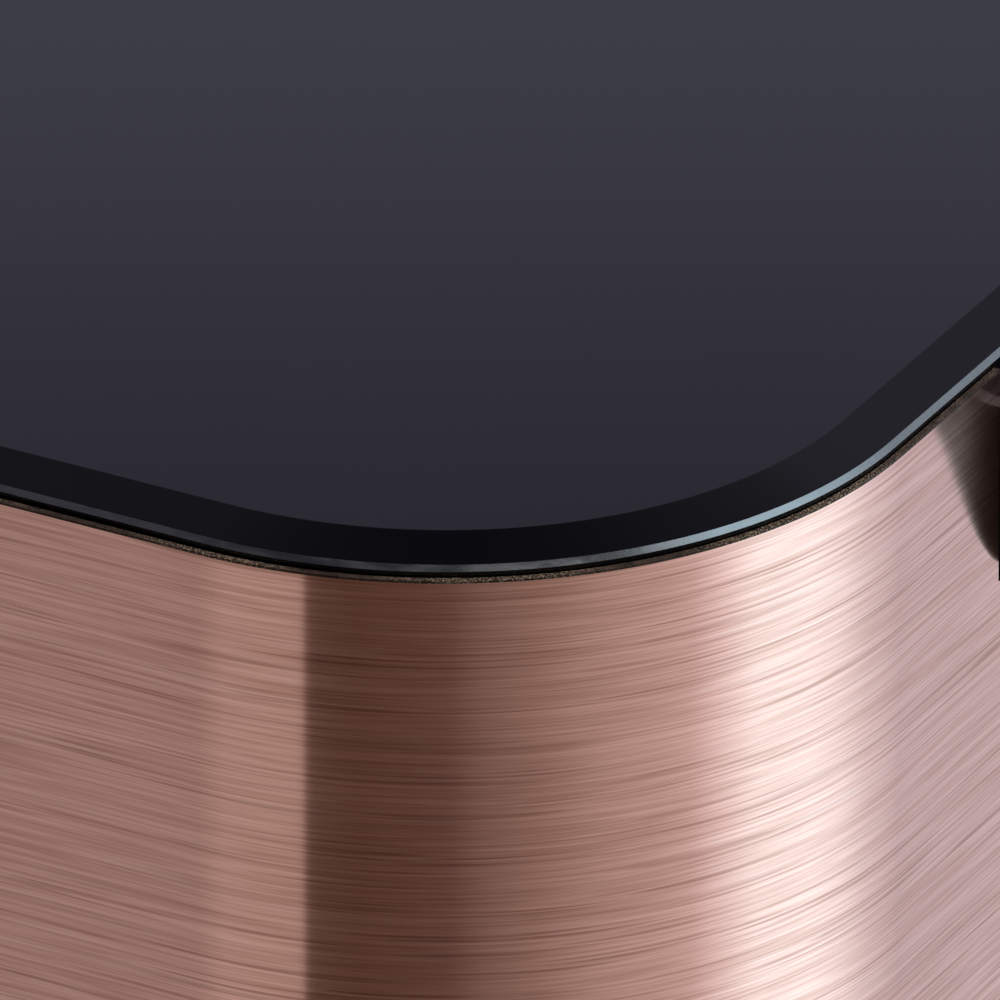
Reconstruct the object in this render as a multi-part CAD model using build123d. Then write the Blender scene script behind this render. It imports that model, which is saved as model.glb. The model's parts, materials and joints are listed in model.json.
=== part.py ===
"""Milk frother: a rounded-square jug with a bevelled black glass lid, standing on its power base.

Units are millimetres. +Z is up and z = 0 is the table top under the feet. The origin is on the jug's
vertical axis, which is also the axis of the motor and of the whisk. -Y is the front, with the push button;
-X is the handle side and +X the spout side.
"""

import os
from math import cos, pi, radians, sin

from build123d import *

# ---------------------------------------------------------------- driving dimensions
SIDE = 120.0                # jug and base, across the flats
CORNER_R = 36.0             # plan radius of the four corners
HEIGHT = 186.0              # table top to the top of the glass
SHEET = 0.5                 # brushed sheet of the sleeve and of the base band

GLASS_T = 2.2               # lid glass
GLASS_INSET = 0.68          # sleeve's outer face to the glass edge
ARRIS = 0.38                # ground 45 degree edge of the glass
BEVEL_W = 3.61              # wide polished bevel round the glass
BEVEL_DROP = 0.80
SLEEVE_TOP = HEIGHT - 1.54  # the sheet's raw edge stands beside the glass edge

FOOT_R = 6.0
FOOT_AT = 40.0              # feet stand at (+-FOOT_AT, +-FOOT_AT)
FOOT_H = 2.6
BASE_BOTTOM = 1.6
BASE_TOP = 20.5
BASE_WALL = 2.2
PLATEAU_R = 36.0
PLATEAU_TOP = 22.0
GLAND_Z = 11.0

JUG_BOTTOM = 21.0
SLEEVE_BOTTOM = 25.0
FLOOR_TOP = 25.0            # inside face of the jug's bottom cover
SKIRT_TOP = 33.0

POT_R = 45.0                # inside radius
POT_WALL = 1.0
POT_FLOOR = 82.5            # inside face
POT_RIM = 175.0             # top of the pot's flange
POT_FLANGE_R = 50.0
COLLAR_TOP = 181.3
FRAME_BOTTOM = 181.5

MOTOR_R = 16.0
MOTOR_BOTTOM = 45.5
MOTOR_TOP = 70.0
SHAFT_R = 1.5
CHASSIS_Z = (70.0, 72.5)
POST_AT = 36.0              # chassis posts stand at (+-POST_AT, +-POST_AT)
CARRIER_Z = (74.0, 79.0)

PIN_R = 2.0                 # the whisk turns on this pin
PIN_TOP = 98.0
HUB_TUBE_R = 4.5
RUNNING_GAP = 0.1           # radial play of parts that turn on each other
PRESS_GAP = 0.02            # radial play left in pressed joints

BUTTON_Z = 52.0
BUTTON_R = 10.7
BUTTON_TRAVEL = 0.8
SPOUT_HALF_W = 9.0
TAB_HALF_W = 12.0
HANDLE_HALF_W = 11.0
HANDLE_OUT = 99.0           # outermost x of the handle
HANDLE_T = 11.0
HANDLE_Z = (72.0, 170.0)

CLEAR = 0.05                # gap between pieces that touch on the real object


# ---------------------------------------------------------------- small shape helpers
def outline(inset, z=0.0):
    """The rounded-square outline, moved inwards by inset, as a sketch at height z."""
    side = SIDE - 2 * inset
    return Pos(0, 0, z) * RectangleRounded(side, side, CORNER_R - inset)


def block(inset, z0, z1):
    """A prism of the rounded-square outline."""
    return extrude(outline(inset, z0), z1 - z0)


def wall(outer_inset, thickness, z0, z1):
    """A rounded-square tube."""
    return block(outer_inset, z0, z1) - block(outer_inset + thickness, z0 - 1, z1 + 1)


def rod(radius, z0, z1, x=0.0, y=0.0):
    """An upright cylinder."""
    return Pos(x, y, (z0 + z1) / 2) * Cylinder(radius, z1 - z0)


def ring(outer, inner, z0, z1, x=0.0, y=0.0):
    """An upright tube."""
    return rod(outer, z0, z1, x, y) - rod(inner, z0 - 1, z1 + 1, x, y)


def bar(x0, x1, y0, y1, z0, z1):
    """A box between two corners."""
    centre = Pos((x0 + x1) / 2, (y0 + y1) / 2, (z0 + z1) / 2)
    return centre * Box(x1 - x0, y1 - y0, z1 - z0)


def rod_y(radius, y0, y1, x=0.0, z=0.0):
    """A cylinder along Y."""
    return Pos(x, (y0 + y1) / 2, z) * Rot(90, 0, 0) * Cylinder(radius, y1 - y0)


def rod_x(radius, x0, x1, y=0.0, z=0.0):
    """A cylinder along X."""
    return Pos((x0 + x1) / 2, y, z) * Rot(0, 90, 0) * Cylinder(radius, x1 - x0)


def at_corners(distance):
    """The four places (+-distance, +-distance)."""
    return [(sx * distance, sy * distance) for sx in (-1, 1) for sy in (-1, 1)]


def group(solids):
    """Several separate solids that share one node."""
    return Compound(children=list(solids))


# ---------------------------------------------------------------- power base
GLAND_BORE_R = 3.4
GLAND_BODY_R = 5.0
GLAND_FLANGE_R = 6.5
BAND_Z = (4.0, 18.0)


def base_shell():
    """Moulded shell of the power base, with a step that takes the metal band."""
    shell = block(0.0, BASE_BOTTOM, BASE_TOP) - block(BASE_WALL + SHEET, BASE_BOTTOM - 1, BASE_TOP - 2.5)
    rim = shell.edges().filter_by(lambda e: abs(e.center().Z - BASE_TOP) < 0.01)
    shell = fillet(rim, 1.2)
    shell -= block(-1.0, *BAND_Z) - block(SHEET + CLEAR, *BAND_Z)
    shell += rod(PLATEAU_R, BASE_TOP, PLATEAU_TOP)
    shell -= rod(15.0 + CLEAR, BASE_TOP - 3, PLATEAU_TOP + 1)
    for x, y in at_corners(FOOT_AT):
        shell += ring(3.5, 1.4, BASE_BOTTOM + 2.6, BASE_TOP - 2.4, x, y)
    return shell - rod_y(GLAND_BODY_R + CLEAR, 50, 62, z=GLAND_Z)


def base_band():
    """Brushed sheet band round the base."""
    band = wall(0.0, SHEET, *BAND_Z)
    return band - rod_y(GLAND_BODY_R + CLEAR, 50, 62, z=GLAND_Z)


def base_plate():
    """Screwed plate that closes the base from below, with a pocket for each foot."""
    plate = block(BASE_WALL + SHEET + 0.1, BASE_BOTTOM, BASE_BOTTOM + 2.5)
    for x, y in at_corners(FOOT_AT):
        plate -= rod(FOOT_R + CLEAR, BASE_BOTTOM - 1, BASE_BOTTOM + 1, x, y)
        plate -= rod(1.5, BASE_BOTTOM - 1, BASE_BOTTOM + 3, x, y)
    return plate


def base_feet():
    """Four rubber feet, hollow where the screw heads sit."""
    feet = []
    for x, y in at_corners(FOOT_AT):
        pad = rod(FOOT_R, 0, FOOT_H, x, y) - rod(3.2, 1.0, FOOT_H + 1, x, y)
        feet.append(pad)
    return group(feet)


def base_screws():
    """Four screws under the feet that hold the plate to the shell's bosses."""
    screws = []
    for x, y in at_corners(FOOT_AT):
        screws.append(rod(2.8, 1.1, FOOT_H, x, y) + rod(1.3, FOOT_H, 12.0, x, y))
    return group(screws)


def base_connector():
    """Round cordless connector: a tower with a central well and a ring groove."""
    tower = rod(15.0, BASE_TOP - 3, 33.0) + ring(22.0, 10.0, BASE_TOP - 6, BASE_TOP - 3)
    tower = fillet(tower.edges().filter_by(lambda e: abs(e.center().Z - 33.0) < 0.01), 0.8)
    tower -= rod(4.0, 24.0, 34.0)
    return tower - ring(10.6, 8.0, 27.0, 34.0)


def contact_pin():
    """Central contact of the base connector."""
    pin = rod(PIN_R, 24.0, 35.0)
    return fillet(pin.edges().filter_by(lambda e: e.center().Z > 34.9), 1.2)


def contact_rings():
    """Two spring rings in the connector's groove."""
    return group([ring(10.55, 10.1, 27.0, 32.0), ring(8.5, 8.05, 27.0, 32.0)])


def cord_gland():
    """Bush in the back of the base that the mains lead passes through."""
    bush = rod_y(GLAND_BODY_R, 56.0, 62.0, z=GLAND_Z)
    bush += rod_y(GLAND_FLANGE_R, 60.0, 62.0, z=GLAND_Z)
    bush += rod_y(GLAND_FLANGE_R, 54.6, 57.2, z=GLAND_Z)
    return bush - rod_y(GLAND_BORE_R, 50, 64, z=GLAND_Z)


# ---------------------------------------------------------------- jug: outside
def outer_sleeve():
    """Brushed sheet sleeve, notched at the top for the spout and for the lid's tab."""
    sleeve = wall(0.0, SHEET, SLEEVE_BOTTOM, SLEEVE_TOP)
    spout_gap = SPOUT_HALF_W + 0.3
    sleeve -= bar(50, 70, -spout_gap, spout_gap, 167.7, HEIGHT)
    tab_gap = TAB_HALF_W + 0.3
    sleeve -= bar(-70, -50, -tab_gap, tab_gap, FRAME_BOTTOM - 0.4, HEIGHT)
    sleeve -= rod_y(15.1, -70, -50, z=BUTTON_Z)
    for z in HANDLE_SCREW_Z:
        sleeve -= rod_x(1.8, -70, -50, z=z)
    return sleeve


def bottom_cover():
    """Moulded cover that closes the sleeve from below and leaves room for the connector."""
    cover = block(SHEET, JUG_BOTTOM, SLEEVE_BOTTOM)
    lip = cover.edges().filter_by(lambda e: abs(e.center().Z - JUG_BOTTOM) < 0.01)
    cover = chamfer(lip, 0.8)
    cover += wall(SHEET + CLEAR, 2.0, SLEEVE_BOTTOM, SKIRT_TOP)
    cover -= rod(PLATEAU_R + 1.0, JUG_BOTTOM - 1, PLATEAU_TOP + 0.3)
    cover -= rod(17.0, JUG_BOTTOM, FLOOR_TOP + 1)
    for x, y in at_corners(POST_AT):
        cover -= rod(1.7, JUG_BOTTOM - 1, FLOOR_TOP + 1, x, y)
        cover -= rod(3.4, JUG_BOTTOM - 1, JUG_BOTTOM + 2.2, x, y)
    return cover


def rim_collar():
    """Moulded collar between pot and sleeve: top plate, skirt, seat for the pot and spout channel."""
    top = block(SHEET + CLEAR, COLLAR_TOP - 2.5, COLLAR_TOP)
    skirt = wall(SHEET + CLEAR, 1.8, 171.0, COLLAR_TOP - 2.0)
    well = ring(POT_FLANGE_R + 2.0, POT_R + POT_WALL + 0.1, 171.5, COLLAR_TOP - 2.0)
    collar = top + skirt + well
    collar -= rod(POT_FLANGE_R + CLEAR, POT_RIM - 1.0, HEIGHT)
    collar -= bar(40, 70, -SPOUT_HALF_W - 0.1, SPOUT_HALF_W + 0.1, 165.0, HEIGHT) \
        - rod(POT_FLANGE_R + 1.0, 160, POT_RIM - 1.0)
    return collar


def spout_plan(half_root, half_tip, tip_x, root_x):
    """Plan shape of the spout, from its root in the collar to its rounded tip."""
    points = [(root_x, -half_root), (58.0, -half_root), (tip_x - half_tip, -half_tip),
              (tip_x - half_tip, half_tip), (58.0, half_root), (root_x, half_root)]
    body = make_face(Polyline(points, close=True))
    return body + Pos(tip_x - half_tip, 0) * Circle(half_tip)


def pour_spout():
    """Open trough that leads from the pot's rim over the sleeve to a rounded lip."""
    tip_x, root_x = 71.0, 51.2
    side = Polyline([(root_x, 172.0), (60.5, 168.0), (tip_x + 1, 177.5), (tip_x + 1, COLLAR_TOP),
                     (root_x, COLLAR_TOP)], close=True)
    solid = extrude(Plane.XZ * make_face(side), 20, both=True)
    solid &= extrude(Pos(0, 0, 160) * spout_plan(SPOUT_HALF_W, 3.6, tip_x, root_x), 30)
    channel = Polyline([(root_x - 5, POT_RIM), (61.0, POT_RIM), (tip_x + 3, 180.4), (tip_x + 3, HEIGHT),
                        (root_x - 5, HEIGHT)], close=True)
    hollow = extrude(Plane.XZ * make_face(channel), 20, both=True)
    hollow &= extrude(Pos(0, 0, 160) * spout_plan(SPOUT_HALF_W - 1.6, 2.2, tip_x - 1.4, root_x - 5), 30)
    solid -= hollow
    return solid - rod(POT_FLANGE_R + 1.1, 160, POT_RIM - 1.0) - rod(POT_FLANGE_R + 0.1, 160, HEIGHT)


HANDLE_SCREW_Z = (HANDLE_Z[0] + 6.0, HANDLE_Z[1] - 6.0)
INLAY_Z = (100.0, 142.0)
INLAY_HALF_W = 4.0
INLAY_T = 0.8


def inlay_prism(depth, grow):
    """The rounded strip set into the handle's back, grown a little for its pocket."""
    length = INLAY_Z[1] - INLAY_Z[0] + 2 * grow
    plane = Plane(origin=(-HANDLE_OUT - 1, 0, sum(INLAY_Z) / 2), x_dir=(0, 1, 0), z_dir=(1, 0, 0))
    return extrude(plane * SlotOverall(length, 2 * (INLAY_HALF_W + grow), rotation=90), depth + 1)


def handle_loop():
    """D-shaped handle: two arms that meet the sleeve, and an upright grip."""
    x0, x1 = -HANDLE_OUT, -SIDE / 2
    z0, z1 = HANDLE_Z
    outer = Polyline([(x1, z0), (x0, z0), (x0, z1), (x1, z1)], close=True)
    inner = Polyline([(x1 + 1, z0 + 12), (x0 + HANDLE_T, z0 + 12), (x0 + HANDLE_T, z1 - 12),
                      (x1 + 1, z1 - 12)], close=True)
    outer_face = make_face(outer)
    outer_face = fillet(outer_face.vertices().filter_by(lambda v: v.X < x0 + 1), 26)
    inner_face = make_face(inner)
    inner_face = fillet(inner_face.vertices().filter_by(lambda v: v.X < x0 + HANDLE_T + 1), 16)
    loop = extrude(Plane.XZ * (outer_face - inner_face), HANDLE_HALF_W, both=True)
    loop = fillet(loop.edges().filter_by(lambda e: e.center().X < x1 - 1 and abs(e.center().Y) > 5), 4.0)
    for z in HANDLE_SCREW_Z:
        loop -= rod_x(1.6, x1 - 14, x1 + 1, z=z)
    return loop - inlay_prism(INLAY_T, 0.1)


def handle_inlay():
    """Brushed metal strip in the handle's back."""
    return inlay_prism(INLAY_T, 0.0) & bar(-HANDLE_OUT, -HANDLE_OUT + INLAY_T, -20, 20, 90, 160)


# ---------------------------------------------------------------- jug: pot and heater
def inner_pot():
    """Deep-drawn pot with a rolled flange, a rounded floor edge and a boss for the whisk pin."""
    r, t, corner = POT_R, POT_WALL, 8.0
    outside = Polyline([(0, POT_FLOOR - t), (r + t, POT_FLOOR - t), (r + t, POT_RIM - t),
                        (POT_FLANGE_R, POT_RIM - t), (POT_FLANGE_R, POT_RIM), (0, POT_RIM)], close=True)
    inside = Polyline([(0, POT_FLOOR), (r, POT_FLOOR), (r, POT_RIM + 1), (0, POT_RIM + 1)], close=True)
    outer_face = make_face(outside)
    outer_face = fillet(outer_face.vertices().filter_by(
        lambda v: v.X > r and v.Y < POT_FLOOR), corner + t)
    inner_face = make_face(inside)
    inner_face = fillet(inner_face.vertices().filter_by(lambda v: v.X > 1 and v.Y < POT_RIM), corner)
    pot = revolve(Plane.XZ * (outer_face - inner_face), Axis.Z)
    return pot + ring(5.0, PIN_R + PRESS_GAP, POT_FLOOR, POT_FLOOR + 1.2)


def pot_gasket():
    """Silicone ring that carries the pot on the chassis."""
    return ring(41.0, 37.5, CHASSIS_Z[1] + CLEAR, POT_FLOOR - POT_WALL - CLEAR)


def level_marks():
    """Two short raised level lines on the pot's wall, low for froth and high for hot milk."""
    marks = []
    for z in (112.0, 140.0):
        line = ring(POT_R - CLEAR, POT_R - 0.5, z, z + 0.8)
        marks.append(line & bar(-60, 60, 30, 60, z - 1, z + 2))
    return group(marks)


def heater_plate():
    """Aluminium plate brazed under the pot, open in the middle for the magnet drive."""
    top = POT_FLOOR - POT_WALL - CLEAR
    return ring(36.8, 22.5, top - 3.1, top)


def heater_element():
    """Sheathed ring element under the plate, with its two cold ends."""
    z = POT_FLOOR - POT_WALL - 3.2 - 2.1
    loop = Pos(0, 0, z) * Torus(29.0, 2.0)
    gap = bar(20, 40, -5, 5, z - 4, z + 4)
    ends = rod_x(1.0, 26.0, 34.0, y=-6.6, z=z) + rod_x(1.0, 26.0, 34.0, y=6.6, z=z)
    return loop - gap + ends


def whisk_pin():
    """Polished pin in the pot's floor, on which the whisk turns."""
    pin = rod(PIN_R, POT_FLOOR + CLEAR, PIN_TOP)
    return fillet(pin.edges().filter_by(lambda e: e.center().Z > PIN_TOP - 0.1), 1.2)


def thermal_cutout():
    """Snap-disc cut-out clipped under the heater plate, outside the element."""
    z = POT_FLOOR - POT_WALL - 3.2
    body = rod(2.6, z - 4.4, z - CLEAR, 0, 34.2)
    legs = [bar(x - 0.4, x + 0.4, 33.8, 34.6, z - 5.4, z - 4.4) for x in (-2.0, 2.0)]
    return body + legs[0] + legs[1]


def ntc_sensor():
    """Bead temperature sensor in its clip, under the heater plate."""
    z = POT_FLOOR - POT_WALL - 3.2
    return rod(1.6, z - 3.0, z - CLEAR, 0, -34.6) + bar(-2.4, 2.4, -36.6, -32.8, z - 3.8, z - 3.0)


# ---------------------------------------------------------------- jug: inside frame, boards and connector
BOARD_Y = (-46.6, -45.0)


def chassis():
    """Inside frame: motor plate, four posts and two slotted rails for the control board."""
    plate = rod(44.0, *CHASSIS_Z) - rod(8.0, CHASSIS_Z[0] - 1, CHASSIS_Z[1] + 1)
    for x, y in at_corners(POST_AT):
        reach = bar(min(x, 0), max(x, 0), min(y, 0), max(y, 0), *CHASSIS_Z) & rod(56, *CHASSIS_Z)
        plate += reach - rod(40.0, CHASSIS_Z[0] - 1, CHASSIS_Z[1] + 1)
        plate += rod(4.5, FLOOR_TOP + CLEAR, CHASSIS_Z[1], x, y) - rod(1.5, FLOOR_TOP - 1, 40.0, x, y)
    for side in (-1, 1):
        xa, xb = sorted((side * 23.5, side * 27.5))
        plate += bar(xa, xb, -49.0, -42.5, 34.0, CHASSIS_Z[1])
        plate += bar(xa, xb, -49.0, -34.0, *CHASSIS_Z)
    plate -= bar(-25.1, 25.1, BOARD_Y[0] - 0.1, BOARD_Y[1] + 0.1, 33.0, 68.1)
    for x in (-8.0, 8.0):
        plate -= rod(1.4, CHASSIS_Z[0] - 1, CHASSIS_Z[1] + 1, x * 1.25, 0)
    return plate


def control_board():
    """Upright board behind the button."""
    return bar(-25.0, 25.0, *BOARD_Y, 36.0, 68.0)


def tact_switch():
    """Push switch on the control board, with the well its plunger moves in."""
    front = BOARD_Y[0] - CLEAR
    body = bar(-3.0, 3.0, front - 3.5, front, BUTTON_Z - 3.0, BUTTON_Z + 3.0)
    return body - rod_y(1.8, front - 4, front - 1.0, z=BUTTON_Z)


def board_parts():
    """Chips and lamps on the control board: four lamps behind the light ring and two chips."""
    front, back = BOARD_Y[0] - CLEAR, BOARD_Y[1] + CLEAR
    solids = []
    for angle in (45, 135, 225, 315):
        x, z = 11.8 * cos(radians(angle)), BUTTON_Z + 11.8 * sin(radians(angle))
        solids.append(bar(x - 1.4, x + 1.4, front - 1.2, front, z - 1.4, z + 1.4))
    solids.append(bar(-8, 8, back, back + 1.6, BUTTON_Z - 6, BUTTON_Z + 6))
    solids.append(bar(12, 20, back, back + 1.2, BUTTON_Z - 3, BUTTON_Z + 3))
    return group(solids)


def power_board():
    """Flat board over the bottom cover, cut round the connector and the posts."""
    board = bar(-46, 46, 12, 50, 28.0, 29.6) & block(4.0, 27, 31)
    board -= rod(22.5, 27, 31)
    for x in (-POST_AT, POST_AT):
        board -= rod(5.2, 27, 31, x, POST_AT)
    return board


def power_parts():
    """Relay, capacitors, terminal block and fuse on the power board."""
    z = 29.6 + CLEAR
    return group([bar(-10, 10, 27, 43, z, z + 15), rod(5.0, z, z + 16, 20, 36),
                  rod(4.0, z, z + 11, 20, 47 - 1.5),
                  bar(-27, -14, 26, 36, z, z + 10), bar(-24, -14, 42, 47, z, z + 5)])


def socket_connector():
    """Female half of the cordless connector, above the bottom cover's opening."""
    top = 41.0
    cup = ring(21.0, 15.5, FLOOR_TOP + CLEAR, 34.0) + rod(21.0, 34.0, top)
    cup -= rod(PIN_R + 0.3, 33.0, 38.0)
    return cup - ring(9.75, 8.75, 33.0, 37.0)


def socket_contacts():
    """Ring blade that enters the base's groove, and the sleeve that takes its centre pin."""
    return group([ring(9.7, 8.8, 29.0, 36.9), ring(3.5, PIN_R + 0.3, 32.0, 33.95)])


# ---------------------------------------------------------------- motor
def motor_can():
    """Drawn steel can, closed at the top."""
    can = rod(MOTOR_R, MOTOR_BOTTOM, MOTOR_TOP - CLEAR)
    can -= rod(MOTOR_R - 1.2, MOTOR_BOTTOM - 1, MOTOR_TOP - 1.5)
    can -= rod(3.0, MOTOR_TOP - 3, MOTOR_TOP + 1)
    for x in (-10.0, 10.0):
        can -= rod(1.15, MOTOR_TOP - 3, MOTOR_TOP + 1, x, 0)
    return can


def motor_end_cap():
    """Plastic cap with the brush gear, closing the can from below."""
    cap = rod(MOTOR_R - 1.25, MOTOR_BOTTOM, MOTOR_BOTTOM + 3.0)
    return cap - rod(3.0, MOTOR_BOTTOM - 1, MOTOR_BOTTOM + 4)


def motor_terminals():
    """Two solder tags of the motor."""
    return group([bar(x - 1.0, x + 1.0, -11.0, -10.4, MOTOR_BOTTOM - 3.5, MOTOR_BOTTOM - CLEAR)
                  for x in (-6.0, 6.0)])


def field_magnets():
    """Two arc magnets inside the can."""
    tube = ring(MOTOR_R - 1.3, 12.2, 50.0, 67.0)
    return group([tube & bar(3.5, 20, -12, 12, 49, 68), tube & bar(-20, -3.5, -12, 12, 49, 68)])


def motor_bushes():
    """Two sintered bushes that carry the shaft."""
    bore = SHAFT_R + RUNNING_GAP / 2
    low = ring(3.0 - PRESS_GAP, bore, MOTOR_BOTTOM, MOTOR_BOTTOM + 3.0)
    high = ring(3.0 - PRESS_GAP, bore, MOTOR_TOP - 3.0, MOTOR_TOP - CLEAR)
    return group([low, high])


def jug_screws():
    """Eight screws in the jug: four in the bottom cover, two in the handle and two that hang the motor."""
    screws = []
    for x, y in at_corners(POST_AT):
        screws.append(rod(3.0, JUG_BOTTOM + 0.4, JUG_BOTTOM + 2.2, x, y)
                      + rod(1.4, JUG_BOTTOM + 2.2, JUG_BOTTOM + 14, x, y))
    inside = -SIDE / 2 + SHEET
    for z in HANDLE_SCREW_Z:
        head = rod_x(3.4, inside + CLEAR, inside + 2.2, z=z)
        screws.append(head + rod_x(1.55, inside - 13, inside + 1, z=z))
    top = CHASSIS_Z[1] + CLEAR
    for x in (-10.0, 10.0):
        screws.append(rod(2.2, top, top + 1.2, x, 0) + rod(1.1, MOTOR_TOP - 1.4, top, x, 0))
    return group(screws)


def armature():
    """Three-pole laminated armature."""
    stack = rod(4.0, 51.0, 66.0)
    for angle in (0, 120, 240):
        pole = bar(3.0, 9.5, -1.6, 1.6, 51.0, 66.0)
        shoe = ring(11.4, 9.4, 51.0, 66.0) & bar(7.0, 12.0, -7.0, 7.0, 50, 67)
        stack += Rot(0, 0, angle) * (pole + shoe)
    return stack - rod(SHAFT_R + PRESS_GAP, 50, 67)


def windings():
    """Copper coils on the three poles."""
    coils = []
    for angle in (0, 120, 240):
        coil = bar(4.6, 8.6, -3.4, 3.4, 50.2, 66.8) - bar(4.0, 10, -1.7, 1.7, 50.9, 66.1)
        coils.append(Rot(0, 0, angle) * coil)
    return group(coils)


def commutator():
    """Three copper bars in a ring under the armature."""
    tube = ring(3.4, SHAFT_R + PRESS_GAP, 48.7, 50.1)
    bars = []
    for angle in (60, 180, 300):
        wedge = Rot(0, 0, angle) * bar(0.5, 4.0, -2.2, 2.2, 48, 51)
        bars.append(tube & wedge)
    return group(bars)


def motor_shaft():
    """Motor shaft."""
    return rod(SHAFT_R, MOTOR_BOTTOM - 1.0, CARRIER_Z[1] - 0.6)


def magnet_carrier():
    """Disc on the shaft that carries the drive magnets."""
    carrier = rod(19.5, *CARRIER_Z) - rod(SHAFT_R + PRESS_GAP, CARRIER_Z[0] - 1, CARRIER_Z[1] - 0.5)
    for x, y in at_corners(8.5):
        carrier -= rod(4.05, CARRIER_Z[1] - 3.1, CARRIER_Z[1] + 1, x, y)
    return carrier


def drive_magnets():
    """Four disc magnets in the carrier."""
    return group([rod(4.0, CARRIER_Z[1] - 3.0, CARRIER_Z[1], x, y) for x, y in at_corners(8.5)])


# ---------------------------------------------------------------- button
def button_bezel():
    """Ring that lines the sleeve's hole and holds the light ring."""
    face = -SIDE / 2
    bezel = rod_y(15.0, face - 0.6, face + 5.0, z=BUTTON_Z)
    bezel += rod_y(17.5, face + SHEET + CLEAR, face + 3.0, z=BUTTON_Z)
    return bezel - rod_y(13.2, face - 2, face + 6, z=BUTTON_Z)


def light_ring():
    """Translucent ring round the button."""
    face = -SIDE / 2
    body = rod_y(13.15, face - 0.5, face + 5.0, z=BUTTON_Z)
    return body - rod_y(BUTTON_R + 0.2, face - 2, face + 6, z=BUTTON_Z)


def button_cap():
    """Round push button with a slightly dished face and a stem."""
    face = -SIDE / 2
    cap = rod_y(BUTTON_R, face - 1.4, face + 3.0, z=BUTTON_Z)
    cap = fillet(cap.edges().filter_by(lambda e: e.center().Y < face - 1.3), 0.7)
    cap -= Pos(0, face - 1.4 - 58.0 + 0.8, BUTTON_Z) * Sphere(58.0)
    return cap + rod_y(2.4, face + 3.0, BOARD_Y[0] - 5.2, z=BUTTON_Z)


def switch_plunger():
    """Plunger of the push switch, which moves with the button."""
    front = BOARD_Y[0] - CLEAR
    return rod_y(1.7, BOARD_Y[0] - 5.2 + CLEAR, front - 1.0 - BUTTON_TRAVEL - 0.2, z=BUTTON_Z)


# ---------------------------------------------------------------- lid
def lid_glass():
    """Black glass plate: flat top, wide polished bevel, ground 45 degree edge."""
    bottom, top = HEIGHT - GLASS_T, HEIGHT
    arris_top = top - BEVEL_DROP
    arris_bottom = arris_top - ARRIS
    edge = extrude(outline(GLASS_INSET, bottom), arris_bottom - bottom)
    ground = loft([outline(GLASS_INSET, arris_bottom), outline(GLASS_INSET + ARRIS, arris_top)], ruled=True)
    bevel_outlines = [outline(GLASS_INSET + ARRIS, arris_top), outline(GLASS_INSET + ARRIS + BEVEL_W, top)]
    bevel = loft(bevel_outlines, ruled=True)
    return edge + ground + bevel


PLUG_R = 43.8
PLUG_BOTTOM = 168.0
SEAL_Z = (170.3, 175.0)


def lid_frame():
    """Moulded plate under the glass, with a finger tab on the handle side."""
    frame_top = HEIGHT - GLASS_T - CLEAR
    frame = block(1.0, FRAME_BOTTOM, frame_top)
    tab = bar(-71.0, -50.0, -TAB_HALF_W, TAB_HALF_W, FRAME_BOTTOM, frame_top)
    return frame + fillet(tab.edges().filter_by(Axis.Z).filter_by(lambda e: e.center().X < -60), 5.0)


def lid_plug():
    """Moulded ring under the lid's plate that enters the pot, with a groove for the seal."""
    plug = ring(PLUG_R, 41.4, PLUG_BOTTOM, FRAME_BOTTOM - CLEAR)
    return plug - ring(PLUG_R + 1, PLUG_R - 1.0, *SEAL_Z)


def lid_seal():
    """Silicone ring in the plug's groove, with two soft lips."""
    body = ring(PLUG_R + 0.1, PLUG_R - 0.95, SEAL_Z[0] + CLEAR, SEAL_Z[1] - CLEAR)
    for z in (SEAL_Z[0] + 0.4, SEAL_Z[1] - 1.4):
        body += ring(POT_R - 0.15, PLUG_R, z, z + 1.0)
    return body


def plug_cover():
    """Disc that closes the plug from below."""
    cover = rod(41.35, PLUG_BOTTOM + 0.2, PLUG_BOTTOM + 2.2)
    return cover + ring(41.35, 39.8, PLUG_BOTTOM + 2.2, PLUG_BOTTOM + 6) - rod(2.1, 160, 180)


def whisk_clip():
    """Split stud under the lid that holds the spare stirring disc."""
    stud = rod(2.0, 157.0, FRAME_BOTTOM - 1.0) + rod(6.0, FRAME_BOTTOM - 2.0, FRAME_BOTTOM - CLEAR)
    stud += rod(4.0, PLUG_BOTTOM - 1.4, PLUG_BOTTOM + 0.15)
    stud += Pos(0, 0, 157.0) * Sphere(2.05)
    return stud - bar(-0.5, 0.5, -5, 5, 150, 162)


def stirring_disc():
    """Spare whisk without a coil, for heating without froth: a hub with three paddles."""
    hub = ring(6.0, 2.0 + RUNNING_GAP, 159.6, 166.4)
    for angle in (0, 120, 240):
        paddle = bar(5.0, 24.0, -0.9, 0.9, 160.0, 165.0) & rod(23.0, 159, 166)
        hub += Rot(0, 0, angle) * paddle
    return hub + (ring(24.0, 22.4, 160.6, 162.6))


# ---------------------------------------------------------------- whisk
HUB_Z = (84.2, 89.2)
RING_R = 24.0
RING_Z = 93.0
COIL_R = 3.0
COIL_WIRE_R = 0.45
COIL_TURNS = 36


def whisk_hub():
    """Magnet hub of the whisk: a disc with four pockets and a tube that turns on the pin."""
    hub = rod(16.0, *HUB_Z) + rod(HUB_TUBE_R, HUB_Z[1], 108.0)
    hub = fillet(hub.edges().filter_by(lambda e: abs(e.center().Z - 108.0) < 0.01), 1.0)
    hub -= rod(PIN_R + RUNNING_GAP, HUB_Z[0] - 1, PIN_TOP + 1.0)
    for x, y in at_corners(7.5):
        hub -= rod(3.55, HUB_Z[0] + 0.8, HUB_Z[0] + 3.9, x, y)
    return hub


def whisk_magnets():
    """Four disc magnets sealed in the hub."""
    return group([rod(3.5, HUB_Z[0] + 0.85, HUB_Z[0] + 3.85, x, y) for x, y in at_corners(7.5)])


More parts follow.
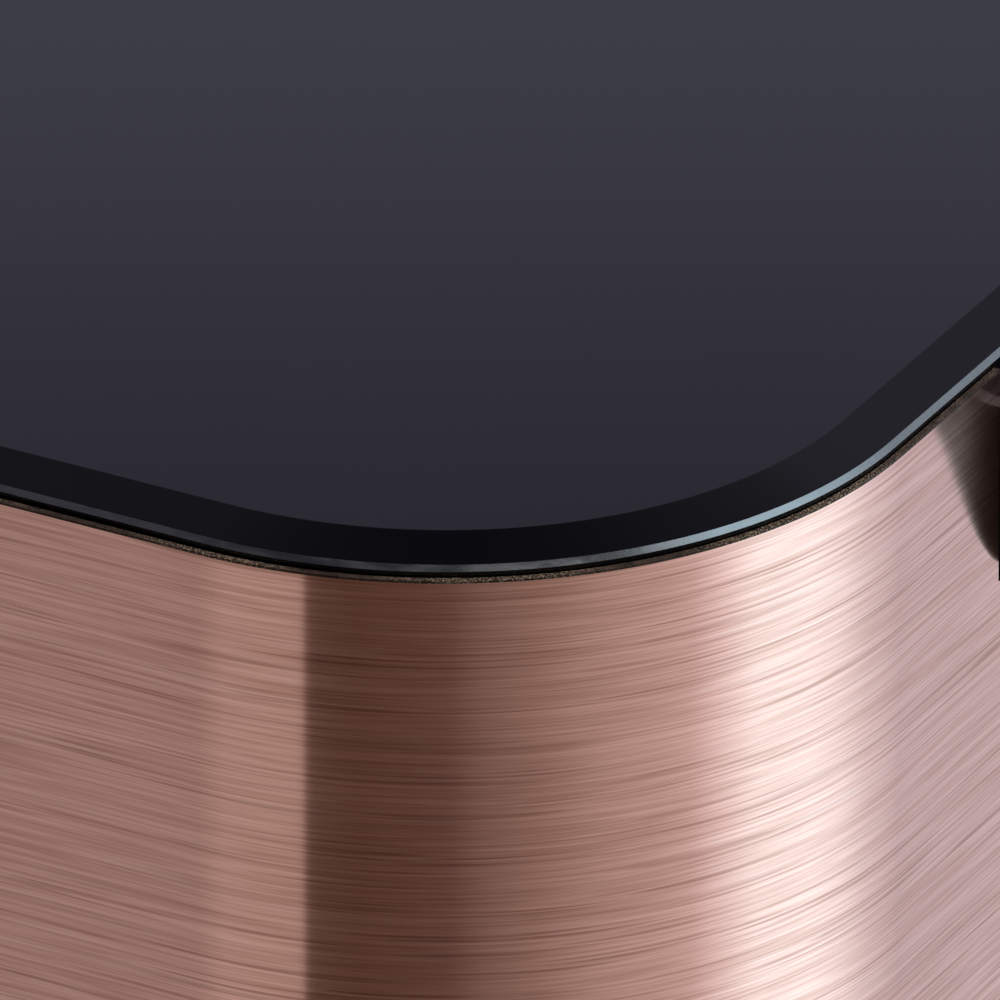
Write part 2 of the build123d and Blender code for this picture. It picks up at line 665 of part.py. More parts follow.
def whisk_stem():
    """Finger grip that clips over the hub's tube, with three arms to the ring."""
    bore = HUB_TUBE_R + RUNNING_GAP
    stem = rod(6.2, HUB_Z[1] + 0.2, 112.0)
    stem = fillet(stem.edges().filter_by(lambda e: e.center().Z > 111.9), 1.6)
    for angle in (90, 210, 330):
        arm = bar(5.0, RING_R - 0.85, -0.9, 0.9, RING_Z - 1.1, RING_Z + 1.1)
        stem += Rot(0, 0, angle) * arm
    return stem - rod(bore, HUB_Z[0], 108.3)


def whisk_ring():
    """Wire ring that carries the frothing coil."""
    return Pos(0, 0, RING_Z) * Torus(RING_R, 0.8)


def coil_point(turn):
    """A point of the coil's centre line, turn by turn round the ring."""
    around, across = 2 * pi * turn / COIL_TURNS, 2 * pi * turn
    reach = RING_R + COIL_R * cos(across)
    return (reach * cos(around), reach * sin(around), RING_Z + COIL_R * sin(across))


def whisk_coil():
    """Frothing coil wound round the ring; its turns pass between the three arms."""
    steps = 12
    points = [coil_point(0.3 + i / steps) for i in range(int(steps * (COIL_TURNS - 0.6)) + 1)]
    path = Spline(points)
    profile = Plane(origin=path @ 0, z_dir=path % 0) * Circle(COIL_WIRE_R)
    return sweep(profile, path=path)


NODES = [
    base_shell, base_band, base_plate, base_feet, base_screws, base_connector, contact_pin, contact_rings,
    cord_gland, outer_sleeve, bottom_cover, rim_collar, pour_spout, handle_loop, handle_inlay,
    jug_screws, inner_pot, pot_gasket, level_marks, heater_plate, heater_element, whisk_pin,
    thermal_cutout, ntc_sensor, chassis, control_board, tact_switch, board_parts, power_board, power_parts,
    socket_connector, socket_contacts, motor_can, motor_end_cap, motor_terminals, field_magnets, motor_bushes,
    armature, windings, commutator, motor_shaft, magnet_carrier, drive_magnets, button_bezel,
    light_ring, button_cap, switch_plunger, lid_glass, lid_frame, lid_plug, lid_seal, plug_cover, whisk_clip,
    stirring_disc, whisk_hub, whisk_magnets, whisk_stem, whisk_ring, whisk_coil,
]

os.makedirs("parts", exist_ok=True)
for node in NODES:
    export_step(node(), f"parts/{node.__name__}.step")
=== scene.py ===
"""Looks of the milk frother: brushed rose-gold sleeve, bevelled black glass lid, studio light and camera."""

import json
import math

import bmesh
import bpy
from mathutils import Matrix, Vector


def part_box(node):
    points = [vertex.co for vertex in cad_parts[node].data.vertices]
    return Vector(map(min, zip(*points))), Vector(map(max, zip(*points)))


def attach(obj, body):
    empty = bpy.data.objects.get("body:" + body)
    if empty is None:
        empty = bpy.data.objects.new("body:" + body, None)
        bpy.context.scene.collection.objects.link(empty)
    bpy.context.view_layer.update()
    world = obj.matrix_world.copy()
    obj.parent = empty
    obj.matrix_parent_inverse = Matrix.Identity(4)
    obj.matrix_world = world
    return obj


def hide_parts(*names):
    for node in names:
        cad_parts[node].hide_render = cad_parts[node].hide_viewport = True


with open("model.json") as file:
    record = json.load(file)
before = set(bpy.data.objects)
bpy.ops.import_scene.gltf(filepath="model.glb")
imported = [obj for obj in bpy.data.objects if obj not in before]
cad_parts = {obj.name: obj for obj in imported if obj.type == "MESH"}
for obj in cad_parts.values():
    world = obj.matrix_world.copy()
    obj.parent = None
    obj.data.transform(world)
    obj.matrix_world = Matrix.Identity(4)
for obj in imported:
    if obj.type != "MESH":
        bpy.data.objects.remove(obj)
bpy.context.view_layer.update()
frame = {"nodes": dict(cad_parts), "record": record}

MM = 0.001

# ---------------------------------------------------------------- dimensions, read from the frame
sleeve_lo, sleeve_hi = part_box("outer_sleeve")
glass_lo, glass_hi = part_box("lid_glass")
HALF = sleeve_hi.x
CORNER_R = 36 * MM
SHEET = 0.5 * MM
SPOUT_NOTCH_Z = 167.7 * MM  # bottoms of the notches for the spout and for the lid's finger tab
TAB_NOTCH_Z = 181.1 * MM
TAB_NOTCH_HALF = 12.3 * MM
BUTTON_HOLE_R = 15.1 * MM
TOP = glass_hi.z
SLEEVE_TOP = sleeve_hi.z
CAMERA_AZIMUTH = math.radians(28.6)
CAMERA_ELEVATION = math.radians(27.7)
CAMERA_DISTANCE = 2.4
FRAME_WIDTH = 69.75 * MM    # width of the view at the corner of the lid
AIM_RIGHT = 3.808 * MM      # middle of the view, from the centre of the corner's arc
AIM_DOWN = 12.499 * MM
RIGHT = Vector((math.cos(CAMERA_AZIMUTH), math.sin(CAMERA_AZIMUTH), 0))
TOWARDS = Vector((math.sin(CAMERA_AZIMUTH), -math.cos(CAMERA_AZIMUTH), 0))
ARC_STEPS = 40              # facets in each rounded corner of the hero pieces


# ---------------------------------------------------------------- mesh helpers
def squircle_ring(inset, z, steps=ARC_STEPS, flat=6):
    """Points of the rounded-square outline, moved inwards by inset, counter-clockwise from +X, -Y corner."""
    radius = CORNER_R - inset
    centre = HALF - CORNER_R
    points = []
    for quarter in range(4):
        start = -math.pi / 2 + quarter * math.pi / 2
        cx = centre * (1 if quarter in (0, 1) else -1)
        cy = centre * (1 if quarter in (1, 2) else -1)
        for i in range(steps + 1):
            a = start + (math.pi / 2) * i / steps
            points.append(Vector((cx + radius * math.cos(a), cy + radius * math.sin(a), z)))
        corner = points[-1]
        a = start + math.pi / 2
        along = Vector((-math.sin(a), math.cos(a), 0)) * (2 * centre)
        for i in range(1, flat):
            points.append(corner + along * (i / flat))
    return points


def circle_ring(radius, z, steps=96):
    """Points of a circle round the origin, counter-clockwise."""
    turns = [2 * math.pi * i / steps for i in range(steps)]
    return [Vector((radius * math.cos(a), radius * math.sin(a), z)) for a in turns]


def loft(bm, rings, slots=None, closed=False, cap_first=False, cap_last=False, cap_slot=0):
    """Joins rings of equal length with quads. slots gives the material index of each band."""
    made = [[bm.verts.new(p) for p in ring] for ring in rings]
    count = len(made[0])
    pairs = list(zip(made, made[1:])) + ([(made[-1], made[0])] if closed else [])
    for band, (low, high) in enumerate(pairs):
        for i in range(count):
            j = (i + 1) % count
            face = bm.faces.new((low[i], low[j], high[j], high[i]))
            face.material_index = slots[band] if slots else 0
            face.smooth = True
    if cap_first:
        face = bm.faces.new(list(reversed(made[0])))
        face.material_index = cap_slot
    if cap_last:
        face = bm.faces.new(made[-1])
        face.material_index = cap_slot
    return made


def finish_piece(bm, name, body, materials, replaces=(), angle=30):
    """Turns a bmesh into an object with sharp edges and weighted normals, riding on a body."""
    bmesh.ops.recalc_face_normals(bm, faces=bm.faces)
    mesh = bpy.data.meshes.new(name)
    bm.to_mesh(mesh)
    bm.free()
    obj = bpy.data.objects.new(name, mesh)
    bpy.context.scene.collection.objects.link(obj)
    for material in materials:
        mesh.materials.append(material)
    mesh.shade_smooth()
    mesh.set_sharp_from_angle(angle=math.radians(angle))
    weighted = obj.modifiers.new("weighted", "WEIGHTED_NORMAL")
    weighted.keep_sharp = True
    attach(obj, body)
    if replaces:
        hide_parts(*replaces)
    return obj


def cut(obj, cutter_bm):
    """Cuts the closed shape of cutter_bm out of obj and applies it."""
    mesh = bpy.data.meshes.new("cutter")
    bmesh.ops.recalc_face_normals(cutter_bm, faces=cutter_bm.faces)
    cutter_bm.to_mesh(mesh)
    cutter_bm.free()
    cutter = bpy.data.objects.new("cutter", mesh)
    bpy.context.scene.collection.objects.link(cutter)
    for used in obj.material_slots:
        mesh.materials.append(used.material)
    boolean = obj.modifiers.new("cut", "BOOLEAN")
    boolean.operation, boolean.solver, boolean.object = "DIFFERENCE", "EXACT", cutter
    obj.modifiers.move(len(obj.modifiers) - 1, 0)
    weighted = [m for m in obj.modifiers if m.type == "WEIGHTED_NORMAL"]
    for m in weighted:
        m.show_viewport = False
    depsgraph = bpy.context.evaluated_depsgraph_get()
    cut_mesh = bpy.data.meshes.new_from_object(obj.evaluated_get(depsgraph))
    obj.modifiers.remove(boolean)
    old = obj.data
    obj.data = cut_mesh
    cut_mesh.name = old.name
    bpy.data.meshes.remove(old)
    for m in weighted:
        m.show_viewport = True
    cut_mesh.set_sharp_from_angle(angle=math.radians(30))
    bpy.data.objects.remove(cutter)
    bpy.data.meshes.remove(mesh)


def box_bm(lo, hi):
    """A closed box as a bmesh, for cutting."""
    bm = bmesh.new()
    ring = [(lo[0], lo[1]), (hi[0], lo[1]), (hi[0], hi[1]), (lo[0], hi[1])]
    loft(bm, [[Vector((x, y, z)) for x, y in ring] for z in (lo[2], hi[2])], cap_first=True, cap_last=True)
    return bm


# ---------------------------------------------------------------- node helpers
class Nodes:
    """Short calls for building a node tree."""

    def __init__(self, tree):
        self.tree = tree

    def add(self, kind, inputs=None, **settings):
        node = self.tree.nodes.new(kind)
        for key, value in settings.items():
            setattr(node, key, value)
        for key, value in (inputs or {}).items():
            self.put(node.inputs[key], value)
        return node

    def put(self, socket, value):
        if isinstance(value, bpy.types.NodeSocket):
            self.tree.links.new(value, socket)
        else:
            socket.default_value = value

    def math(self, operation, a, b=0.0, c=0.0, clamp=False):
        node = self.add("ShaderNodeMath", {0: a, 1: b, 2: c}, operation=operation, use_clamp=clamp)
        return node.outputs[0]

    def coords(self, scale):
        """Object coordinates, scaled along each axis."""
        where = self.add("ShaderNodeTexCoord").outputs["Object"]
        return self.add("ShaderNodeMapping", {"Vector": where, "Scale": scale}).outputs[0]

    def noise(self, scale, detail=2.0, roughness=0.5):
        """Noise from 0 to 1, with scale in cycles per metre along each axis."""
        settings = {"Vector": self.coords(scale), "Scale": 1.0, "Detail": detail, "Roughness": roughness}
        return self.add("ShaderNodeTexNoise", settings).outputs["Fac"]

    def ramp(self, factor, stops):
        """Colour ramp through the stops, each a position and a colour."""
        node = self.add("ShaderNodeValToRGB", {"Fac": factor})
        elements = node.color_ramp.elements
        elements[0].position, elements[1].position = stops[0][0], stops[-1][0]
        elements[0].color, elements[-1].color = (*stops[0][1], 1), (*stops[-1][1], 1)
        for position, colour in stops[1:-1]:
            elements.new(position).color = (*colour, 1)
        return node.outputs["Color"]

    def mix(self, factor, a, b):
        """Colour a where factor is 0, b where it is 1."""
        node = self.add("ShaderNodeMix", data_type="RGBA")
        self.put(node.inputs[0], factor)
        self.put(node.inputs[6], a)
        self.put(node.inputs[7], b)
        return node.outputs[2]

    def remap(self, value, from_min, from_max, to_min, to_max, kind="LINEAR"):
        node = self.add("ShaderNodeMapRange", {0: value, 1: from_min, 2: from_max, 3: to_min, 4: to_max},
                        interpolation_type=kind)
        return node.outputs[0]

    def upright(self):
        """The vector straight up, for brushing that runs round the upright axis."""
        return self.add("ShaderNodeCombineXYZ", {"Z": 1.0}).outputs[0]

    def bump(self, height, distance, strength=1.0):
        settings = {"Height": height, "Distance": distance, "Strength": strength}
        return self.add("ShaderNodeBump", settings).outputs[0]


def material(name, **plain):
    """A material with one Principled shader. plain sets sockets, with _ for the spaces in their names."""
    made = bpy.data.materials.new(name)
    made.use_nodes = True
    nodes = Nodes(made.node_tree)
    shader = made.node_tree.nodes["Principled BSDF"]
    for key, value in plain.items():
        shader.inputs[key.replace("_", " ")].default_value = value
    return made, nodes, shader


def rgb(r, g, b):
    return (r, g, b, 1.0)


# ---------------------------------------------------------------- materials
COPPER = (0.84, 0.50, 0.415)


def brushed_copper():
    """Rose-gold sheet with brush lines round the body: fine lines, dark scratches, painted glints as bright
    lines, faint clouds.
    """
    made, n, shader = material("brushed_rose_gold", Metallic=1.0, Anisotropic=1.0)
    fine = n.noise((110, 110, 6400), 1.0, 0.5)
    lines = n.noise((70, 70, 3600), 1.0, 0.6)
    broad = n.noise((30, 30, 900), 2.0, 0.5)
    clouds = n.noise((45, 45, 120), 2.0, 0.5)
    tone = n.math("ADD", n.remap(lines, 0.3, 0.7, -0.5, 0.5), n.remap(fine, 0.32, 0.68, -0.75, 0.75))
    tone = n.math("ADD", tone, n.remap(broad, 0.3, 0.7, -0.12, 0.12))
    tone = n.math("ADD", tone, n.remap(clouds, 0.3, 0.7, -0.15, 0.15))
    scratch = n.remap(n.noise((45, 45, 5200), 0.0), 0.60, 0.68, 0.0, 0.62)
    scratch = n.math("MULTIPLY", scratch, n.remap(n.noise((75, 75, 1100), 2.0, 0.6), 0.4, 0.62, 0.25, 1.0))
    # painted glints: bright, whiter lines in the base colour that stand in for highlights
    painted_glint = n.remap(n.noise((60, 60, 6000), 0.0), 0.66, 0.74, 0.0, 0.3)
    dark = rgb(COPPER[0] * 0.83, COPPER[1] * 0.77, COPPER[2] * 0.74)
    light = rgb(*(min(c * 1.12, 1) for c in COPPER))
    colour = n.mix(n.remap(tone, -0.9, 0.9, 0.0, 1.0), dark, light)
    colour = n.mix(scratch, colour, rgb(COPPER[0] * 0.50, COPPER[1] * 0.40, COPPER[2] * 0.36))
    colour = n.mix(painted_glint, colour, rgb(0.95, 0.66, 0.58))
    n.put(shader.inputs["Base Color"], colour)
    n.put(shader.inputs["Roughness"], n.remap(lines, 0.3, 0.7, 0.11, 0.13))
    n.put(shader.inputs["Normal"], n.bump(fine, 0.00001, 0.4))
    n.put(shader.inputs["Tangent"], n.upright())
    return made


def raw_edge():
    """Cut edge of the sheet: dull near-black brown, painted shade of the rim under the glass, with dust
    caught along it, laid thicker on the lit right side as painted light.
    """
    made, n, shader = material("raw_sheet_edge_painted_shade", Metallic=0.3, Roughness=0.5, Specular_IOR_Level=0.15)
    grain = n.noise((900, 900, 900), 3.0, 0.6)
    # near-black brown: painted shade of the copper rim under the glass
    colour = n.mix(n.remap(grain, 0.35, 0.7, 0, 1), rgb(0.016, 0.009, 0.007), rgb(0.048, 0.027, 0.019))
    dust = n.math("MULTIPLY", n.remap(n.noise((7000, 7000, 7000), 1.0, 0.5), 0.50, 0.64, 0, 1),
                  n.remap(n.noise((70, 70, 70), 1.0, 0.5), 0.42, 0.58, 0, 1))
    across = n.add("ShaderNodeSeparateXYZ", {0: n.coords((1, 1, 1))}).outputs["X"]
    dust = n.math("MULTIPLY", dust, n.remap(across, 0.0, HALF / 2, 0.15, 1.0))  # thicker to the right, the lit side: painted light over real dust
    colour = n.mix(dust, colour, rgb(0.24, 0.175, 0.115))
    n.put(shader.inputs["Base Color"], colour)
    n.put(shader.inputs["Roughness"], n.remap(grain, 0.3, 0.7, 0.35, 0.6))
    return made


def specks(n, scale, low, high):
    """Sparse round specks of dust, as a 0 to 1 mask."""
    cells = n.add("ShaderNodeTexVoronoi", {"Vector": n.coords((scale,) * 3), "Scale": 1.0, "Randomness": 1.0},
                  feature="F1")
    keep = n.add("ShaderNodeSeparateColor", {0: cells.outputs["Color"]})
    chosen = n.math("LESS_THAN", keep.outputs[0], 0.16)
    spot = n.remap(cells.outputs["Distance"], low, high, 1.0, 0.0)
    return n.math("MULTIPLY", n.math("MULTIPLY", spot, chosen), keep.outputs[1])


def black_glass():
    """Polished glass over a black backing, with a little dust on it."""
    made, n, shader = material("black_glass", Roughness=0.03, IOR=1.52)
    dust = n.math("MULTIPLY", specks(n, 420, 0.025, 0.04), 0.35)
    haze = n.remap(n.noise((20, 20, 20), 3.0, 0.6), 0.3, 0.7, 0.0, 1.0)
    base = n.mix(haze, rgb(0.0010, 0.0010, 0.0016), rgb(0.0016, 0.0015, 0.0022))
    n.put(shader.inputs["Base Color"], n.mix(dust, base, rgb(0.12, 0.11, 0.11)))
    n.put(shader.inputs["Roughness"], n.remap(haze, 0.0, 1.0, 0.02, 0.035))
    return made


def ground_glass():
    """Ground edge of the glass: satin, blue-grey, with fine chips."""
    made, n, shader = material("ground_glass_edge", IOR=2.6)
    grain = n.noise((2500, 2500, 2500), 3.0, 0.6)
    chips = n.remap(n.noise((260, 260, 900), 2.0, 0.5), 0.42, 0.6, 0.0, 1.0)
    colour = n.mix(grain, rgb(0.004, 0.0045, 0.0055), rgb(0.012, 0.0135, 0.017))
    n.put(shader.inputs["Base Color"], colour)
    n.put(shader.inputs["Roughness"], n.remap(chips, 0.0, 1.0, 0.22, 0.30))
    n.put(shader.inputs["Normal"], n.bump(grain, 0.00002, 0.5))
    return made


def moulded(name, colour, roughness, grain_size=1800, depth=0.000015, lighter=1.5, **plain):
    """Moulded plastic or rubber: fine grain, slight variation in colour and gloss, faint scuffs."""
    made, n, shader = material(name, **plain)
    grain = n.noise((grain_size,) * 3, 2.0, 0.5)
    cloud = n.noise((35, 35, 35), 3.0, 0.6)
    light = rgb(*(min(c * lighter, 1) for c in colour))
    n.put(shader.inputs["Base Color"], n.mix(cloud, rgb(*colour), light))
    scuff = n.remap(n.noise((60, 60, 700), 3.0, 0.7), 0.55, 0.75, 0.0, 0.10)
    gloss = n.remap(cloud, 0.3, 0.7, roughness - 0.03, roughness + 0.03)
    n.put(shader.inputs["Roughness"], n.math("ADD", gloss, scuff))
    n.put(shader.inputs["Normal"], n.bump(grain, depth, 0.5))
    return made


def turned_metal(name, colour, roughness, scale=(60, 60, 2600), anisotropic=0.6, spread=0.05):
    """Drawn or turned metal with faint lines round its upright axis."""
    made, n, shader = material(name, Metallic=1.0, Anisotropic=anisotropic)
    lines = n.noise(scale, 3.0, 0.6)
    cloud = n.noise((40, 40, 40), 2.0, 0.5)
    dark = rgb(*(c * 0.84 for c in colour))
    tone = n.math("MULTIPLY", n.math("ADD", lines, cloud), 0.5)
    n.put(shader.inputs["Base Color"], n.mix(tone, dark, rgb(*colour)))
    n.put(shader.inputs["Roughness"], n.remap(lines, 0.3, 0.7, roughness - spread, roughness + spread))
    n.put(shader.inputs["Normal"], n.bump(lines, 0.00001, 0.5))
    n.put(shader.inputs["Tangent"], n.upright())
    return made


def circuit_laminate():
    """Green board with a darker weave."""
    made, n, shader = material("circuit_laminate", Roughness=0.4)
    weave = n.noise((1500, 1500, 1500), 1.0, 0.5)
    n.put(shader.inputs["Base Color"], n.mix(weave, rgb(0.012, 0.10, 0.045), rgb(0.03, 0.17, 0.08)))
    n.put(shader.inputs["Normal"], n.bump(weave, 0.00002, 0.4))
    return made


def light_diffuser():
    """Frosted ring round the button, softly lit white."""
    made, n, shader = material("light_diffuser", Emission_Strength=0.5, Roughness=0.45)
    cloud = n.noise((300, 300, 300), 2.0, 0.5)
    colour = n.mix(cloud, rgb(0.70, 0.74, 0.80), rgb(0.82, 0.84, 0.88))
    n.put(shader.inputs["Base Color"], colour)
    n.put(shader.inputs["Emission Color"], colour)
    return made


M = {
    "rose_sheet": brushed_copper(),
    "raw_edge": raw_edge(),
    "black_glass": black_glass(),
    "ground_glass": ground_glass(),
    "black_shell": moulded("black_shell_plastic", (0.012, 0.012, 0.014), 0.42),
    "black_satin": moulded("black_satin_plastic", (0.010, 0.010, 0.012), 0.3, grain_size=2600,
                           depth=0.000008),
    "foot_rubber": moulded("foot_rubber", (0.016, 0.016, 0.017), 0.75, grain_size=1400, depth=0.00003),
    "grey_silicone": moulded("grey_silicone", (0.20, 0.20, 0.21), 0.55, lighter=1.2),
    "grey_nylon": moulded("grey_nylon", (0.30, 0.30, 0.31), 0.5, lighter=1.15),
    "magnet_ferrite": moulded("magnet_ferrite", (0.03, 0.03, 0.033), 0.6),
    "screw_steel": turned_metal("screw_steel", (0.52, 0.53, 0.56), 0.32),
    "pot_steel": turned_metal("pot_steel", (0.66, 0.65, 0.64), 0.26, anisotropic=0.8),
    "pin_chrome": turned_metal("pin_chrome", (0.80, 0.80, 0.82), 0.10, anisotropic=0.2, spread=0.02),
    "magnet_nickel": turned_metal("magnet_nickel", (0.66, 0.63, 0.58), 0.16, anisotropic=0.1),
    "heater_aluminium": turned_metal("heater_aluminium", (0.72, 0.72, 0.74), 0.4, scale=(500, 500, 500),
                                     anisotropic=0.0),
    "contact_brass": turned_metal("contact_brass", (0.80, 0.58, 0.26), 0.24),
    "coil_copper": turned_metal("coil_copper", (0.80, 0.36, 0.20), 0.28, scale=(800, 800, 5000)),
    "green_board": circuit_laminate(),
    "light_diffuser": light_diffuser(),
}


# ---------------------------------------------------------------- carried-over CAD nodes
EDGE_ROUNDS = {
    "base_connector": 0.3 * MM, "bottom_cover": 0.3 * MM, "plug_cover": 0.3 * MM,
    "lid_frame": 0.5 * MM, "base_feet": 0.5 * MM, "cord_gland": 0.5 * MM, "button_bezel": 0.25 * MM,
    "stirring_disc": 0.25 * MM, "magnet_carrier": 0.3 * MM, "power_parts": 0.5 * MM, "lid_plug": 0.3 * MM,
    "socket_connector": 0.4 * MM, "heater_plate": 0.3 * MM, "motor_can": 0.4 * MM, "pot_gasket": 0.4 * MM,
}


def dress_cad():
    """Gives every carried-over CAD node its material, and softened edges to the nodes listed in EDGE_ROUNDS.
    """
    slots = {part["node"]: part["material_slot"] for part in frame["record"]["subparts"]}
    for node, obj in frame["nodes"].items():
        chosen = M[slots[node]]
        if obj.material_slots:
            for used in obj.material_slots:
                used.material = chosen
        else:
            obj.data.materials.append(chosen)
    for node, width in EDGE_ROUNDS.items():
        bevel = frame["nodes"][node].modifiers.new("soft_edges", "BEVEL")
        bevel.width, bevel.segments, bevel.limit_method = width, 2, "ANGLE"
        bevel.angle_limit = math.radians(40)
        bevel.harden_normals = False


# ---------------------------------------------------------------- hero pieces
def make_sleeve():
    """Sheet sleeve with a rolled outer lip, a raw cut edge painted dark as shade, and its notches and button
    hole.
    """
    lip, burr = 0.04 * MM, 0.2 * MM         # rounding of the edge, and the dull sheared strip below it
    z0, z1 = sleeve_lo.z, SLEEVE_TOP
    profile = [(0.0, z0), (0.0, z0 + 0.5 * (z1 - z0)), (0.0, z1 - burr), (0.3 * lip, z1 - 0.3 * lip),
               (lip, z1), (SHEET - lip / 2, z1), (SHEET, z1 - lip / 2), (SHEET, z0)]
    bm = bmesh.new()
    loft(bm, [squircle_ring(inset, z) for inset, z in profile], slots=[0, 0, 1, 1, 1, 1, 0, 0], closed=True)
    obj = finish_piece(bm, "sleeve", "jug", [M["rose_sheet"], M["raw_edge"]], ["outer_sleeve"])
    through = 5 * MM                        # how far the cutters reach past the sheet
    spout_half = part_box("pour_spout")[1].y + 0.3 * MM
    cut(obj, box_bm((HALF - through, -spout_half, SPOUT_NOTCH_Z), (HALF + through, spout_half, TOP)))
    cut(obj, box_bm((-HALF - through, -TAB_NOTCH_HALF, TAB_NOTCH_Z), (-HALF + through, TAB_NOTCH_HALF, TOP)))
    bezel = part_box("button_bezel")
    button_z = (bezel[0].z + bezel[1].z) / 2
    ring = circle_ring(BUTTON_HOLE_R, 0.0)
    bm = bmesh.new()
    loft(bm, [[Vector((p.x, -HALF + y, p.y + button_z)) for p in ring] for y in (-through, through)],
         cap_first=True, cap_last=True)
    cut(obj, bm)
    return obj


def make_glass():
    """Lid glass: flat top, wide polished bevel, ground arris, straight edge."""
    inset, arris, bevel, drop = 0.68 * MM, 0.38 * MM, 3.61 * MM, 0.80 * MM
    z0, z1 = glass_lo.z, TOP
    rings = [squircle_ring(inset, z0), squircle_ring(inset, z1 - drop - arris),
             squircle_ring(inset + arris * 0.98, z1 - drop - 0.01 * MM),
             squircle_ring(inset + arris * 1.1, z1 - drop + 0.004 * MM),
             squircle_ring(inset + arris + bevel * 0.99, z1 - 0.008 * MM),
             squircle_ring(inset + arris + bevel * 1.01, z1)]
    aside = RIGHT * 0.13 * MM   # the plate sits a little to the right in its seat
    bm = bmesh.new()
    loft(bm, [[p + aside for p in ring] for ring in rings], slots=[0, 1, 0, 0, 0], cap_first=True,
         cap_last=True)
    return finish_piece(bm, "glass_plate", "lid", [M["black_glass"], M["ground_glass"]], ["lid_glass"],
                        angle=4)


def spout_section(x, run, ease, hi, below):
    """One closed section of the trough at x: its outside, then its inside back again."""
    wall, turns = 1.3 * MM, 20
    half = hi.y - 5.2 * MM * ease           # it narrows towards the tip
    floor = hi.z - 6.3 * MM + 4.2 * MM * run
    power = 0.16 + 0.50 * ease              # nearly square at the root, rounder at the tip
    outer, inner = [], []
    for k in range(turns + 1):
        a = math.pi * k / turns
        side = math.copysign(abs(math.cos(a)) ** power, math.cos(a))
        down = math.sin(a) ** power if 0 < k < turns else 0.0
        outer.append(Vector((x, half * side, hi.z - (hi.z - below) * down)))
        inner.append(Vector((x, (half - wall) * side, hi.z - (hi.z - floor) * down)))
    return outer + inner[::-1]


def make_spout():
    """Spout: a trough with a rounded underside that narrows and rises to its lip."""
    lo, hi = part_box("pour_spout")
    root, bend, tip = lo.x + 0.1 * MM, lo.x + 9.3 * MM, hi.x - 0.05 * MM
    steps = 24
    sections = []
    for i in range(steps + 1):
        x = root + (tip - root) * i / steps
        run = max(0.0, (x - bend) / (tip - bend))
        ease = run * run * (3 - 2 * run)
        rise = 4 * MM * (bend - x) / (bend - root) if x < bend else 8.7 * MM * run ** 1.15
        sections.append(spout_section(x, run, ease, hi, lo.z + rise))
    bm = bmesh.new()
    loft(bm, sections, cap_first=True, cap_last=True)
    return finish_piece(bm, "spout", "jug", [M["black_satin"]], ["pour_spout"])


# ---------------------------------------------------------------- stage, light and camera
def add_camera():
    """Long lens, looking down on the lid's front right corner."""
    back = TOWARDS * math.cos(CAMERA_ELEVATION) + Vector((0, 0, math.sin(CAMERA_ELEVATION)))
    up = Vector((0, 0, math.cos(CAMERA_ELEVATION))) - TOWARDS * math.sin(CAMERA_ELEVATION)
    corner = Vector((HALF - CORNER_R, -HALF + CORNER_R, TOP))
    target = corner + RIGHT * AIM_RIGHT - up * AIM_DOWN
    data = bpy.data.cameras.new("camera")
    data.lens = data.sensor_width / 2 / (FRAME_WIDTH / 2 / CAMERA_DISTANCE)
    camera = bpy.data.objects.new("camera", data)
    camera.location = target + back * CAMERA_DISTANCE
    camera.rotation_mode = "QUATERNION"
    camera.rotation_quaternion = (-back).to_track_quat("-Z", "Y")
    data.clip_start, data.clip_end = 0.05, 50.0
    bpy.context.scene.collection.objects.link(camera)
    bpy.context.scene.camera = camera


# light seen low round the jug, by angle from the camera's side, in degrees, positive to the right
AROUND = [
    (-180, (0.50, 0.52, 0.56)), (-140, (0.40, 0.42, 0.45)), (-118, (0.85, 0.86, 0.90)),
    (-96, (0.85, 0.86, 0.90)), (-80, (0.38, 0.37, 0.38)), (-57.6, (0.365, 0.340, 0.345)),
    (-51, (0.465, 0.435, 0.435)), (-40, (0.455, 0.425, 0.415)), (-32.2, (0.435, 0.405, 0.395)),
    (-31.2, (0.115, 0.090, 0.076)), (-20, (0.105, 0.074, 0.058)), (-8, (0.120, 0.088, 0.074)),
    (1, (0.140, 0.108, 0.096)), (8, (0.205, 0.172, 0.160)), (20, (0.295, 0.257, 0.247)),
    (34, (0.432, 0.405, 0.408)), (48, (0.545, 0.53, 0.545)), (57, (0.65, 0.65, 0.69)),
    (66, (0.93, 1.08, 1.22)), (74, (1.16, 1.55, 1.75)), (90, (1.24, 1.68, 1.92)),
    (99, (1.12, 1.46, 1.68)), (109, (0.84, 1.03, 1.20)), (122, (0.64, 0.73, 0.86)),
    (145, (0.42, 0.45, 0.50)), (180, (0.50, 0.52, 0.56)),
]
# light seen above the horizon, by the sine of the elevation
ABOVE = [
    (0.0, (0.55, 0.56, 0.60)), (0.440, (0.50, 0.50, 0.62)), (0.4543, (0.40, 0.40, 0.52)),
    (0.4604, (0.285, 0.270, 0.37)), (0.4655, (0.205, 0.185, 0.26)), (0.66, (0.205, 0.195, 0.25)),
    (0.70, (0.14, 0.135, 0.17)), (0.748, (0.10, 0.095, 0.12)), (0.793, (0.04, 0.04, 0.05)),
    (0.82, (0.015, 0.015, 0.02)), (0.93, (0.015, 0.015, 0.02)), (0.97, (0.20, 0.20, 0.21)),
    (1.0, (0.30, 0.30, 0.31)),
]
LIGHT_SCALE = 2.0           # colour ramps stop at 1, so they hold the light divided by this


